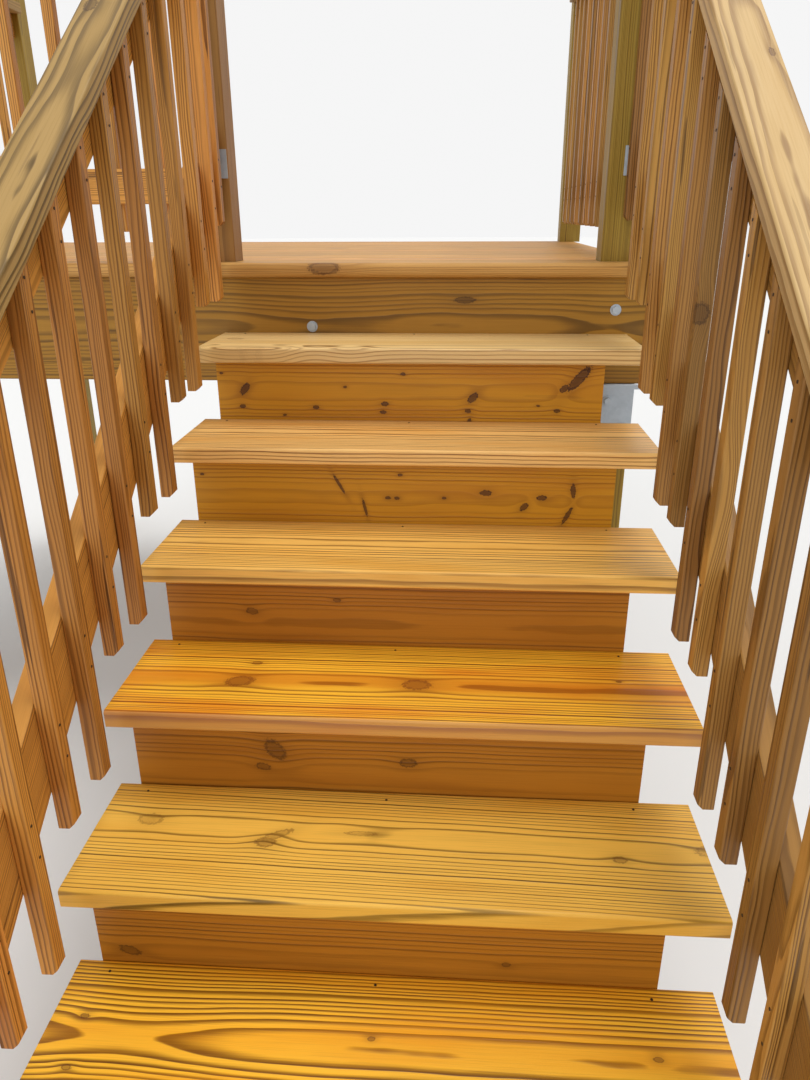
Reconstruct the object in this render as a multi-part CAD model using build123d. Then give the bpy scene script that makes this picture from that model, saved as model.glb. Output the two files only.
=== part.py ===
from build123d import *
import math
import os

# Wooden deck stairs: a straight flight between two guards, up to a small deck with guards of its own.
# X runs across the flight, Y runs up the flight towards the house, Z is up, in millimetres.
# The origin is the middle of the centre stringer's foot, on the ground.

# Flight
rises = 8
rise = 187.0
going = 256.0
nosing = 30.0
stair_width = 984.0
tread_thickness = 38.0
tread_overhang_left = 39.0
tread_overhang_right = 93.0
tread_ease = 6.0
riser_thickness = 19.0
stringer_thickness = 38.0
stringer_depth = 286.0

# Guards of the flight and of the deck
post_size = 89.0
rail_thickness = 38.0
cap_width = 89.0
cap_thickness = 38.0
top_rail_depth = 89.0
bottom_rail_depth = 140.0
deck_bottom_rail_depth = 89.0
cap_inset = 33.5
cap_overhang = 6.5
baluster_size = 30.0
baluster_setback_left = 6.5
baluster_setback_right = 0.0
baluster_lead_left = 171.0
baluster_lead_right = 143.0
baluster_foot_gap_left = 95.0
baluster_foot_gap_right = 104.0
last_baluster_gap = 50.0
baluster_bevel = 10.0
handrail_height = 905.0
bottom_rail_lift = 132.0
deck_rail_lift = 150.0
deck_baluster_lift = 78.0
post_rise_over_cap = 85.0
post_bevel = 12.0
newel_setback = 20.0

# Deck
deck_board_width = 140.0
deck_board_thickness = 38.0
deck_board_gap = 5.0
deck_board_count = 12
deck_nose_radius = 15.0
left_bay = 1121.0
right_post_inset = 78.0
rim_depth = 286.0
rim_thickness = 38.0
joist_depth = 235.0
joist_thickness = 38.0
joists_left_bay = 2
joists_over_stairs = 2
post_clearance = 3.0

# Supports and fastenings
support_inset = 15.0
steel_thickness = 3.0
post_cap_drop = 150.0
post_cap_lip_height = 14.0
post_cap_lip_depth = 6.0
post_cap_lip_reach = 17.0
post_cap_bolts = ((-24.0, 49.0), (24.0, 125.0))
bracket_leg = 34.0
bracket_return = 20.0
bracket_height = 71.0
bracket_lift = 31.0
bolt_head_width = 19.0
bolt_head_height = 8.0
washer_radius = 15.0
washer_thickness = 2.5
bolt_drop = 123.0
rim_bolt_x = -283.0
rim_bolt_drop = 170.0
ease = 4.0
small_ease = 3.0

# Worked out along the flight
slope = math.atan2(rise, going)
treads = rises - 1
tread_depth = going + nosing
half_width = stair_width / 2
deck_height = rises * rise
tip_height = rise - tread_thickness
foot_length = (stringer_depth / math.cos(slope) - tip_height) / math.tan(slope)
foot_front = -foot_length / 2
nosing_back = nosing + riser_thickness
deck_front = foot_front - nosing_back + treads * going

# Worked out across the flight, from left to right
tread_left = -half_width - tread_overhang_left
tread_right = half_width + tread_overhang_right
cap_inner_left = tread_left + cap_inset
cap_inner_right = tread_right - cap_inset
rail_left = cap_inner_left - baluster_setback_left - baluster_size
rail_right = cap_inner_right + baluster_setback_right + baluster_size
post_left_outer = cap_inner_left - post_size
post_right_inner = tread_right - right_post_inset
post_right_outer = post_right_inner + post_size
corner_outer = post_left_outer - left_bay - post_size
deck_left = corner_outer - rim_thickness
deck_right = post_right_outer + rim_thickness

# Worked out from the deck's front to the house
rim_front = deck_front + nosing
post_front = rim_front + rim_thickness
board_pitch = deck_board_width + deck_board_gap
deck_back = deck_front + deck_board_count * board_pitch - deck_board_gap
ledger_front = deck_back - rim_thickness
wall_post_front = deck_back - post_size
frame_top = deck_height - deck_board_thickness
frame_bottom = frame_top - rim_depth


def nosing_y(step):
    """Front edge of a tread, counted down from the deck at 0."""
    return deck_front - step * going


def tread_top(step):
    """Top of a tread, counted down from the deck at 0."""
    return deck_height - step * rise


def nosing_line(y):
    """Height of the sloping line that touches all the nosings."""
    return deck_height + (y - deck_front) * math.tan(slope)


def plumb(depth):
    """Upright height of a sloping board of this depth."""
    return depth / math.cos(slope)


def block(x_low, x_high, y_low, y_high, z_low, z_high):
    """A square-edged box between these faces."""
    size = (x_high - x_low, y_high - y_low, z_high - z_low)
    middle = ((x_low + x_high) / 2, (y_low + y_high) / 2, (z_low + z_high) / 2)
    return Pos(*middle) * Box(*size)


def board(x_low, x_high, y_low, y_high, z_low, z_high, radius=ease):
    """A sawn board with its four long edges eased."""
    solid = block(x_low, x_high, y_low, y_high, z_low, z_high)
    lengths = {Axis.X: x_high - x_low, Axis.Y: y_high - y_low, Axis.Z: z_high - z_low}
    along = max(lengths, key=lengths.get)
    return fillet(solid.edges().filter_by(along), radius)


def side_profile(points, x_low, x_high):
    """A board whose side outline is given as (y, z) points."""
    outline = Wire.make_polygon([Vector(x_low, y, z) for y, z in points])
    return Solid.extrude(Face(outline), Vector(x_high - x_low, 0, 0))


def sloping_board(x_low, x_high, y_low, y_high, lift, depth, radius=ease):
    """A board along the flight with plumb ends; lift is from the nosing line to its underside."""
    top = lift + plumb(depth)
    points = [
        (y_low, nosing_line(y_low) + lift),
        (y_high, nosing_line(y_high) + lift),
        (y_high, nosing_line(y_high) + top),
        (y_low, nosing_line(y_low) + top),
    ]
    solid = side_profile(points, x_low, x_high)
    grain = Axis((0, 0, 0), (0, math.cos(slope), math.sin(slope)))
    return fillet(solid.edges().filter_by(grain), radius)


def upright_post(x_low, y_low, z_low, z_high):
    """A square post with eased corners and a bevelled top."""
    solid = block(x_low, x_low + post_size, y_low, y_low + post_size, z_low, z_high)
    top = solid.faces().sort_by(Axis.Z)[-1]
    solid = chamfer(top.edges(), post_bevel)
    return fillet(solid.edges().filter_by(Axis.Z), ease)


# Treads and risers


def make_tread(step):
    """One tread from its nosing back to the riser above it."""
    front = nosing_y(step)
    top = tread_top(step)
    ends = (tread_left, tread_right)
    solid = board(*ends, front, front + tread_depth, top - tread_thickness, top, tread_ease)
    if step < treads:
        return solid
    for inner, outer in newel_sides():
        low = min(inner, outer) - post_clearance
        high = max(inner, outer) + post_clearance
        back = newel_back + post_clearance
        solid -= block(low, high, newel_front - post_clearance, back, top - rise, top + rise)
    return solid


def make_riser(step):
    """The riser under a tread, down to the next tread's seat or to the ground."""
    front = nosing_y(step) + nosing
    top = tread_top(step) - tread_thickness
    bottom = 0 if step == treads else top - rise
    return block(-half_width, half_width, front, front + riser_thickness, bottom, top)


# Stringers


def make_stringer(x_low):
    """A notched stringer with a level foot and a plumb end against the deck's rim."""
    points = [(foot_front, 0)]
    for step in range(treads, 0, -1):
        seat = tread_top(step) - tread_thickness
        back = rim_front if step == 1 else nosing_y(step - 1) + nosing_back
        points.append((nosing_y(step) + nosing_back, seat))
        points.append((back, seat))
    end_drop = stringer_depth / math.cos(slope) - (rim_front - nosing_y(1) - nosing_back) * math.tan(slope)
    points.append((rim_front, tread_top(1) - tread_thickness - end_drop))
    points.append((foot_front + foot_length, 0))
    return side_profile(points, x_low, x_low + stringer_thickness)


# Guards of the flight

newel_front = nosing_y(treads) + newel_setback
newel_back = newel_front + post_size
cap_lift = handrail_height - plumb(cap_thickness)
top_rail_lift = cap_lift - plumb(top_rail_depth)


def guard_x(side):
    """X ranges of the cap, rail and balusters of the flight's guard, side -1 left or +1 right."""
    cap_inner = cap_inner_left if side < 0 else cap_inner_right
    rail_inner = rail_left if side < 0 else rail_right
    cap = sorted((cap_inner, cap_inner + side * cap_width))
    rail = sorted((rail_inner, rail_inner + side * rail_thickness))
    balusters = sorted((rail_inner, rail_inner - side * baluster_size))
    return cap, rail, balusters


def newel_sides():
    """Inner and outer X of each bottom newel post."""
    sides = []
    for side in (-1, 1):
        low, high = guard_x(side)[0]
        sides.append((high, low) if side < 0 else (low, high))
    return sides


def finish_baluster(solid, side, across):
    """Bevel the lower edge of a baluster on its inner side and ease its long edges."""
    low_edges = solid.edges().filter_by(across).sort_by(Axis.Z)[:2]
    key = Axis.X if across == Axis.Y else Axis.Y
    edge = low_edges.sort_by(key)[-1 if side < 0 else 0]
    solid = chamfer(edge, baluster_bevel)
    return fillet(solid.edges().filter_by(Axis.Z), small_ease)


def stair_baluster(side, front, foot):
    """One upright of the flight's guard, cut to the slope under the cap."""
    low, high = guard_x(side)[2]
    back = front + baluster_size
    points = [
        (front, foot),
        (back, foot),
        (back, nosing_line(back) + cap_lift),
        (front, nosing_line(front) + cap_lift),
    ]
    return finish_baluster(side_profile(points, low, high), side, Axis.Y)


def stair_balusters(side):
    """Pairs of balusters, each pair starting at one height over its tread.

    One that would touch the bracket on the deck post stands lower down, clear of both.
    """
    solids = []
    lead = baluster_lead_left if side < 0 else baluster_lead_right
    foot_gap = baluster_foot_gap_left if side < 0 else baluster_foot_gap_right
    beside_bracket = post_front - bracket_return - baluster_size
    last_place = post_front - last_baluster_gap - baluster_size
    for step in range(rises):
        foot = tread_top(step) + foot_gap
        for front in (nosing_y(step) + lead, nosing_y(step) + lead - going / 2):
            if newel_back < front < post_front:
                place = last_place if front > beside_bracket else front
                solids.append(stair_baluster(side, place, foot))
    return Compound(children=solids)


# Deck posts


def deck_post(x_low, y_low, z_low):
    """A guard post from this height up to its top over the deck's caps."""
    top = nosing_line(post_front) + handrail_height + post_rise_over_cap
    return upright_post(x_low, y_low, z_low, top)


def post_places():
    """Low X and Y corner of each post that goes down through the deck, inside its rim."""
    return {
        "deck_post_left": (post_left_outer, post_front),
        "deck_post_right": (post_right_inner, post_front),
        "deck_post_corner": (corner_outer, post_front),
    }


def wall_post_places():
    """Low X and Y corner of each post that stands on the deck at the house, behind a rail's end."""
    half_more = (post_size - rail_thickness) / 2
    return {
        "wall_post_left": (deck_left - half_more, wall_post_front),
        "wall_post_right": (post_right_outer - half_more, wall_post_front),
    }


# Guards of the deck

level_cap_top = nosing_line(post_front) + handrail_height
level_cap_bottom = level_cap_top - cap_thickness
level_rail_heights = {
    "top": (level_cap_bottom - top_rail_depth, level_cap_bottom),
    "bottom": (deck_height + deck_rail_lift, deck_height + deck_rail_lift + deck_bottom_rail_depth),
}


def spread(low, high):
    """Low edges of evenly spaced balusters between two posts."""
    gap = going / 2 - baluster_size
    count = math.ceil((high - low - gap) / (gap + baluster_size))
    space = (high - low - count * baluster_size) / (count + 1)
    return [low + space + i * (space + baluster_size) for i in range(count)]


def front_guard():
    """Cap, rails and balusters between the left stair post and the corner post."""
    low = corner_outer + post_size
    high = post_left_outer
    rail_front = post_front + cap_overhang
    baluster_front = rail_front + rail_thickness
    baluster_back = baluster_front + baluster_size
    cap = board(low, high, post_front, post_front + cap_width, level_cap_bottom, level_cap_top)
    rails = []
    for bottom, top in level_rail_heights.values():
        rails.append(board(low, high, rail_front, baluster_front, bottom, top))
    balusters = []
    foot = deck_height + deck_baluster_lift
    for x in spread(low, high):
        ends = (x, x + baluster_size, baluster_front, baluster_back, foot, level_cap_bottom)
        balusters.append(finish_baluster(block(*ends), -1, Axis.X))
    return cap, rails, balusters


def side_guard(side):
    """Cap, rails and balusters from a front post back to the post at the house."""
    outer = corner_outer if side < 0 else post_right_outer
    low = post_front + post_size
    high = wall_post_front
    reach = side * (rail_thickness + cap_overhang)
    cap_x = sorted((outer + reach, outer + reach - side * cap_width))
    cap = board(*cap_x, low, high, level_cap_bottom, level_cap_top)
    rail_x = sorted((outer, outer + side * rail_thickness))
    rails = []
    for bottom, top in level_rail_heights.values():
        rails.append(board(*rail_x, post_front, high, bottom, top))
    baluster_x = sorted((outer, outer - side * baluster_size))
    balusters = []
    foot = deck_height + deck_baluster_lift
    for y in spread(low, high):
        ends = (*baluster_x, y, y + baluster_size, foot, level_cap_bottom)
        balusters.append(finish_baluster(block(*ends), side, Axis.Y))
    return cap, rails, balusters


# Deck frame and boards


def joist_places():
    """Low X of each joist: one beside the left stair post, the rest evenly spaced."""
    beside_post = post_left_outer - joist_thickness
    left_edge = deck_left + rim_thickness - joist_thickness
    right_edge = deck_right - rim_thickness
    places = [beside_post]
    left_pitch = (beside_post - left_edge) / (joists_left_bay + 1)
    places += [left_edge + left_pitch * (i + 1) for i in range(joists_left_bay)]
    right_pitch = (right_edge - beside_post) / (joists_over_stairs + 1)
    places += [beside_post + right_pitch * (i + 1) for i in range(joists_over_stairs)]
    return places


def joists():
    """Joists between the front rim and the ledger, flush with their tops."""
    bottom = frame_top - joist_depth
    solids = []
    for x in joist_places():
        solids.append(board(x, x + joist_thickness, post_front, ledger_front, bottom, frame_top, small_ease))
    return Compound(children=solids)


def deck_boards():
    """Boards across the deck, the first with a round nose, cut around the posts."""
    solids = []
    for index in range(deck_board_count):
        front = deck_front + index * board_pitch
        ends = (deck_left, deck_right, front, front + deck_board_width, frame_top, deck_height)
        if index == 0:
            solid = block(*ends)
            nose = solid.edges().filter_by(Axis.X).sort_by(Axis.Y)[:2]
            solid = fillet(nose, deck_nose_radius)
        else:
            solid = board(*ends, small_ease)
        for x, y in post_places().values():
            low_x = max(x - post_clearance, deck_left + rim_thickness - post_clearance)
            high_x = x + post_size + post_clearance
            low_y = y - post_clearance
            high_y = y + post_size + post_clearance
            if high_y > front and low_y < front + deck_board_width:
                solid -= block(low_x, high_x, low_y, high_y, frame_top - rise, deck_height + rise)
        solids.append(solid)
    return Compound(children=solids)


# Supports under the deck


def support_places():
    """Low X and Y corner of each support post."""
    left = deck_left + support_inset
    right = deck_right - support_inset - post_size
    back = deck_back - post_size - steel_thickness - post_cap_lip_depth
    return [(left, rim_front), (right, rim_front), (left, back), (right, back)]


def support_posts():
    """Posts from the ground to the caps under the rim."""
    top = frame_bottom - steel_thickness
    solids = []
    for x, y in support_places():
        solids.append(board(x, x + post_size, y, y + post_size, 0, top))
    return Compound(children=solids)


def post_cap_lip(x_low, x_high, face, outward):
    """The lip along the top of a flange, with its outer top edge rounded."""
    ends = sorted((face, face + outward * post_cap_lip_depth))
    reach = post_cap_lip_reach
    lip = block(x_low - reach, x_high + reach, *ends, frame_bottom - post_cap_lip_height, frame_bottom)
    long_edges = lip.edges().filter_by(Axis.X)
    rounded = long_edges.sort_by(Axis.Z)[-2:].sort_by(Axis.Y)[0 if outward < 0 else -1]
    return fillet(rounded, post_cap_lip_depth / 2)


def post_caps():
    """Folded steel caps: a plate on each support post, with a lipped flange down its front and back."""
    solids = []
    top = frame_bottom
    for x, y in support_places():
        x_ends = (x - steel_thickness, x + post_size + steel_thickness)
        y_ends = (y - steel_thickness, y + post_size + steel_thickness)
        plate = block(*x_ends, *y_ends, top - steel_thickness, top)
        for edge in (y - steel_thickness, y + post_size):
            plate += block(*x_ends, edge, edge + steel_thickness, top - post_cap_drop, top)
        plate += post_cap_lip(*x_ends, y_ends[0], -1)
        plate += post_cap_lip(*x_ends, y_ends[1], 1)
        solids.append(plate)
    return Compound(children=solids)


# Steel fastenings


def angle_bracket(side, face, direction, bottom):
    """An angle with one leg on a post's face and the other on the rail's inner face."""
    corner = rail_left if side < 0 else rail_right
    post_leg_x = sorted((corner, corner - side * bracket_leg))
    rail_leg_x = sorted((corner, corner - side * steel_thickness))
    post_leg_y = sorted((face, face + direction * steel_thickness))
    rail_leg_y = sorted((face, face + direction * bracket_return))
    solid = block(*post_leg_x, *post_leg_y, bottom, bottom + bracket_height)
    return solid + block(*rail_leg_x, *rail_leg_y, bottom, bottom + bracket_height)


def rail_brackets():
    """Brackets where the flight's rails meet the posts and newels."""
    solids = []
    for side in (-1, 1):
        for face, direction in ((post_front, -1), (newel_back, 1)):
            reach = face + direction * bracket_return
            for lift, depth in ((bottom_rail_lift, bottom_rail_depth), (top_rail_lift, top_rail_depth)):
                low = nosing_line(max(face, reach)) + lift
                high = nosing_line(min(face, reach)) + lift + plumb(depth)
                height = min(low + bracket_lift, high - bracket_height)
                solids.append(angle_bracket(side, face, direction, height))
    return Compound(children=solids)


def bolt(x, y, z, direction):
    """A hexagon bolt head on a washer, its axis along direction."""
    plane = Plane(origin=(x, y, z), z_dir=direction)
    washer = extrude(plane * Circle(washer_radius), washer_thickness)
    hexagon = plane.offset(washer_thickness) * RegularPolygon(bolt_head_width / 2, 6, major_radius=False)
    return washer + extrude(hexagon, bolt_head_height)


def lag_bolts():
    """Bolt heads on the rim and on the flanges of the support posts' caps."""
    height = deck_height - bolt_drop
    half_post = post_size / 2
    middles = (post_right_inner + half_post, corner_outer + half_post)
    solids = [bolt(x, rim_front, height, (0, -1, 0)) for x in middles]
    solids.append(bolt(rim_bolt_x, rim_front, deck_height - rim_bolt_drop, (0, -1, 0)))
    for x, y in support_places():
        if y < deck_back - rim_depth:
            for shift, drop in post_cap_bolts:
                middle = x + half_post + shift
                solids.append(bolt(middle, y - steel_thickness, frame_bottom - drop, (0, -1, 0)))
    return Compound(children=solids)


# Every node of the model


def all_nodes():
    """Name and solid of every sub-part."""
    nodes = {}
    for step in range(1, treads + 1):
        nodes[f"tread_{step}"] = make_tread(step)
        nodes[f"riser_{step}"] = make_riser(step)
    nodes["stringer_left"] = make_stringer(-half_width)
    nodes["stringer_middle"] = make_stringer(-stringer_thickness / 2)
    nodes["stringer_right"] = make_stringer(half_width - stringer_thickness)
    for side, name in ((-1, "left"), (1, "right")):
        cap_x, rail_x, baluster_x = guard_x(side)
        newel_top = nosing_line(newel_back) + handrail_height + post_rise_over_cap
        nodes[f"newel_post_{name}"] = upright_post(cap_x[0], newel_front, 0, newel_top)
        cap = sloping_board(*cap_x, newel_back, post_front, cap_lift, cap_thickness)
        nodes[f"stair_cap_{name}"] = cap
        ends = (*rail_x, newel_back, post_front)
        nodes[f"stair_top_rail_{name}"] = sloping_board(*ends, top_rail_lift, top_rail_depth)
        nodes[f"stair_bottom_rail_{name}"] = sloping_board(*ends, bottom_rail_lift, bottom_rail_depth)
        nodes[f"stair_balusters_{name}"] = stair_balusters(side)
    for name, place in post_places().items():
        nodes[name] = deck_post(*place, frame_bottom)
    for name, place in wall_post_places().items():
        nodes[name] = deck_post(*place, deck_height)
    for name, parts in (("front", front_guard()), ("left", side_guard(-1)), ("right", side_guard(1))):
        cap, rails, balusters = parts
        nodes[f"deck_cap_{name}"] = cap
        nodes[f"deck_rails_{name}"] = Compound(children=rails)
        nodes[f"deck_balusters_{name}"] = Compound(children=balusters)
    nodes["front_rim"] = board(deck_left, deck_right, rim_front, post_front, frame_bottom, frame_top)
    rim_z = (frame_bottom, frame_top)
    side_y = (post_front, deck_back)
    nodes["side_rim_left"] = board(deck_left, deck_left + rim_thickness, *side_y, *rim_z)
    nodes["side_rim_right"] = board(deck_right - rim_thickness, deck_right, *side_y, *rim_z)
    inner_x = (deck_left + rim_thickness, deck_right - rim_thickness)
    nodes["ledger"] = board(*inner_x, ledger_front, deck_back, *rim_z)
    nodes["joists"] = joists()
    nodes["deck_boards"] = deck_boards()
    nodes["support_posts"] = support_posts()
    nodes["post_caps"] = post_caps()
    nodes["rail_brackets"] = rail_brackets()
    nodes["lag_bolts"] = lag_bolts()
    return nodes


os.makedirs("parts", exist_ok=True)
for node_name, node_shape in all_nodes().items():
    export_step(node_shape, f"parts/{node_name}.step")
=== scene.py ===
# %% [markdown]
# # Wooden deck stairs
# The object is a straight outdoor flight of seven treads that climbs between two sloping
# guards to a small deck. Everything is sawn softwood: broad planks for the treads and the rim,
# square sticks for the balusters, and a few pieces of galvanised steel where boards meet.
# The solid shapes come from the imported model, so this lesson is about two things: how to make
# timber that looks sawn, oiled and nailed together, and how to add the small hardware.

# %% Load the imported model
import bmesh
import bpy
import math
from mathutils import Matrix, Vector


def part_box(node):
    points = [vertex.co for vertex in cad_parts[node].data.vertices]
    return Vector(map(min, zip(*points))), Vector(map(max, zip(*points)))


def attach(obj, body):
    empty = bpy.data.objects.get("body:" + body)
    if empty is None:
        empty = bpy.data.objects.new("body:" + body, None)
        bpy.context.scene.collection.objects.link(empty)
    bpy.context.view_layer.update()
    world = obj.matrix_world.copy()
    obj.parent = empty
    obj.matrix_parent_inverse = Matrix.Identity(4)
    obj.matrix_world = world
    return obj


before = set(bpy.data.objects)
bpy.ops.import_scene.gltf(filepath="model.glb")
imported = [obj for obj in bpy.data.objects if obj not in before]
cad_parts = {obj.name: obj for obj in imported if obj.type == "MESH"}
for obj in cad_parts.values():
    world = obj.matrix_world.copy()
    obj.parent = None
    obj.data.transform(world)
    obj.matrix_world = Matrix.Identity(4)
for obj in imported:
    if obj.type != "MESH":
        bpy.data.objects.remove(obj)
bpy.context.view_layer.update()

# %% [markdown]
# ## Camera
# The eye stands over the lower treads and looks up the flight and a little down, so the near
# treads are large and the deck is level with the top of the frame. A camera can be placed by
# hand, but here its place was solved from the corners of the treads, so we write it as three
# plain turns: tip down, swing to the left, and a very slight lean.

# %% Camera at the viewing angle
eye = Vector((0.1265, -0.7016, 1.622))
tip_down = 0.3805
swing_left = 0.0651
lean = 0.0047

camera_data = bpy.data.cameras.new("viewing_camera")
camera_data.sensor_fit = "VERTICAL"
camera_data.sensor_height = 36.0
camera_data.lens = 27.31
camera_data.clip_start = 0.02
camera_data.clip_end = 200.0
camera = bpy.data.objects.new("viewing_camera", camera_data)
turn = Matrix.Rotation(swing_left, 4, "Z") @ Matrix.Rotation(math.pi / 2 - tip_down, 4, "X")
camera.matrix_world = Matrix.Translation(eye) @ turn @ Matrix.Rotation(-lean, 4, "Z")
bpy.context.scene.collection.objects.link(camera)
bpy.context.scene.camera = camera

# %% [markdown]
# ## Node helpers
# Every finish below is a small network of shader nodes. Typing `nodes.new` and `links.new` for
# each one is slow to read, so short helpers add a node, fill its sockets with numbers or links,
# and hand back the socket that the next node needs.

# %% Helpers for shader nodes
def screen_colour(red, green, blue):
    """A colour as seen on a screen, 0 to 255, turned into the linear numbers of a shader."""
    linear = []
    for value in (red, green, blue):
        level = value / 255
        linear.append(level / 12.92 if level <= 0.04045 else ((level + 0.055) / 1.055) ** 2.4)
    return (*linear, 1.0)


def fill(tree, node, inputs):
    """Set a node's inputs to values or links; returns the node."""
    for key, value in inputs.items():
        if isinstance(value, bpy.types.NodeSocket):
            tree.links.new(value, node.inputs[key])
        else:
            node.inputs[key].default_value = value
    return node


def put(tree, kind, inputs, **options):
    """Add a node, set its options, and fill its inputs."""
    node = tree.nodes.new("ShaderNode" + kind)
    for name, value in options.items():
        setattr(node, name, value)
    return fill(tree, node, inputs)


def calc(tree, operation, first, second=0.0, third=0.0, clamp=False):
    """One Math node; returns its result."""
    inputs = {0: first, 1: second, 2: third}
    return put(tree, "Math", inputs, operation=operation, use_clamp=clamp).outputs[0]


def vector_calc(tree, operation, first, second=(0.0, 0.0, 0.0), result="Vector"):
    """One Vector Math node; returns its result."""
    return put(tree, "VectorMath", {0: first, 1: second}, operation=operation).outputs[result]


def centred(tree, value):
    """A value from 0 to 1, moved to lie from -0.5 to 0.5."""
    return calc(tree, "SUBTRACT", value, 0.5)


def parts(tree, vector):
    """The three parts of a vector."""
    return put(tree, "SeparateXYZ", {0: vector}).outputs


def noise(tree, place, stretch, detail, **inputs):
    """A Noise texture on stretched coordinates; returns its outputs."""
    stretched = vector_calc(tree, "MULTIPLY", place, stretch)
    inputs = {"Vector": stretched, "Scale": 1.0, "Detail": detail, **inputs}
    return put(tree, "TexNoise", inputs).outputs


def fade(tree, value, low, high, low_result=0.0, high_result=1.0):
    """A smooth step from low_result at low to high_result at high."""
    ends = {"From Min": low, "From Max": high, "To Min": low_result, "To Max": high_result}
    node = put(tree, "MapRange", {"Value": value, **ends}, interpolation_type="SMOOTHSTEP")
    return node.outputs["Result"]


def band(tree, value, start, full, fall, end):
    """A smooth band: 0 up to start, 1 from full to fall, and 0 again from end on."""
    falling = fade(tree, value, fall, end, 1.0, 0.0)
    return calc(tree, "MULTIPLY", fade(tree, value, start, full), falling)


def blend_colour(tree, amount, first, second):
    """A colour Mix node; returns the mixed colour."""
    return put(tree, "Mix", {0: amount, 6: first, 7: second}, data_type="RGBA").outputs[2]


def new_group(name, inputs, outputs):
    """An empty node group with named sockets, and the sockets of its input and output nodes."""
    tree = bpy.data.node_groups.new(name, "ShaderNodeTree")
    for label, kind, value in inputs:
        socket = tree.interface.new_socket(label, in_out="INPUT", socket_type="NodeSocket" + kind)
        if value is not None:
            socket.default_value = value
    for label, kind in outputs:
        tree.interface.new_socket(label, in_out="OUTPUT", socket_type="NodeSocket" + kind)
    given = tree.nodes.new("NodeGroupInput").outputs
    return tree, given, tree.nodes.new("NodeGroupOutput").inputs


def hand_back(tree, result, outputs):
    """Link what a group worked out to its outputs."""
    for label, socket in outputs.items():
        tree.links.new(socket, result[label])


# %% [markdown]
# ## One board at a time
# A plank has its own growth rings, so two neighbours never share one pattern. Several of the
# model's nodes hold a whole row of boards. They stand at an even spacing, so the place of a
# point, divided by that spacing and rounded, is the number of its board. A White Noise node
# turns the number into three random values, and taking the board's middle away gives
# coordinates that start again on every board. A second set of coordinates runs on over the
# whole row, for marks that only one of its boards has.

# %% Group: which board a point is on
half = (0.5, 0.5, 0.5)
one_board = (100.0, 100.0, 100.0)
board_tree, given, result = new_group(
    "board_place",
    [("Vector", "Vector", None), ("Middle", "Vector", None), ("Spacing", "Vector", one_board)],
    [("Local", "Vector"), ("Whole", "Vector"), ("Random", "Vector")],
)
whole = vector_calc(board_tree, "SUBTRACT", given["Vector"], given["Middle"])
steps = vector_calc(board_tree, "DIVIDE", whole, given["Spacing"])
number = vector_calc(board_tree, "FLOOR", vector_calc(board_tree, "ADD", steps, half))
board_start = vector_calc(board_tree, "MULTIPLY", number, given["Spacing"])
local = vector_calc(board_tree, "SUBTRACT", whole, board_start)
row_number = vector_calc(board_tree, "MULTIPLY", given["Middle"], (7.31, 5.17, 9.73))
seed = vector_calc(board_tree, "ADD", number, row_number)
white = put(board_tree, "TexWhiteNoise", {"Vector": seed}, noise_dimensions="3D")
outputs = {"Local": local, "Whole": whole, "Random": white.outputs["Color"]}
hand_back(board_tree, result, outputs)

# %% [markdown]
# ## Knots
# A knot is a branch that the saw cut through. Close to it the rings bend round the branch, and
# the branch itself is a small dark oval with a ring of bark. The group measures the distance
# to one knot and gives three things: how far the rings are pushed aside, a mask of the knot,
# and a softer mask of the stained wood round it. A squash draws the oval out, a turn lays it
# slanting, and a round knot ends inside the board. Each knot passes on what it got from the one
# before, so knots can be strung in a row. With no darkness and a wide bend the same group makes
# the long closed arches, where the saw only grazed a swelling of the trunk.

# %% Group: one knot
knot_tree, given, result = new_group(
    "knot",
    [
        ("Vector", "Vector", None),
        ("Centre", "Vector", None),
        ("Size", "Float", 0.01),
        ("Bend", "Float", 0.6),
        ("Dark", "Float", 1.0),
        ("Squash", "Float", 0.62),
        ("Turn", "Float", 0.0),
        ("Round", "Float", 0.0),
        ("Push", "Float", 0.0),
        ("Core", "Float", 0.0),
        ("Shade", "Float", 0.0),
    ],
    [("Push", "Float"), ("Core", "Float"), ("Shade", "Float")],
)
away = vector_calc(knot_tree, "SUBTRACT", given["Vector"], given["Centre"])
inputs = {"Vector": away, "Angle": given["Turn"]}
turned = put(knot_tree, "VectorRotate", inputs, rotation_type="Z_AXIS").outputs[0]
shape = put(knot_tree, "CombineXYZ", {0: given["Squash"], 1: 1.0, 2: given["Round"]}).outputs[0]
shaped = vector_calc(knot_tree, "MULTIPLY", turned, shape)
distance = vector_calc(knot_tree, "LENGTH", shaped, result="Value")
in_sizes = calc(knot_tree, "DIVIDE", distance, given["Size"])
squared = calc(knot_tree, "MULTIPLY", in_sizes, in_sizes)

# The rings bend round the branch over about three times its size.
swell = calc(knot_tree, "EXPONENT", calc(knot_tree, "MULTIPLY", squared, -0.16))
swell = calc(knot_tree, "MULTIPLY", swell, given["Size"])
push = calc(knot_tree, "MULTIPLY_ADD", swell, given["Bend"], given["Push"])

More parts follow.
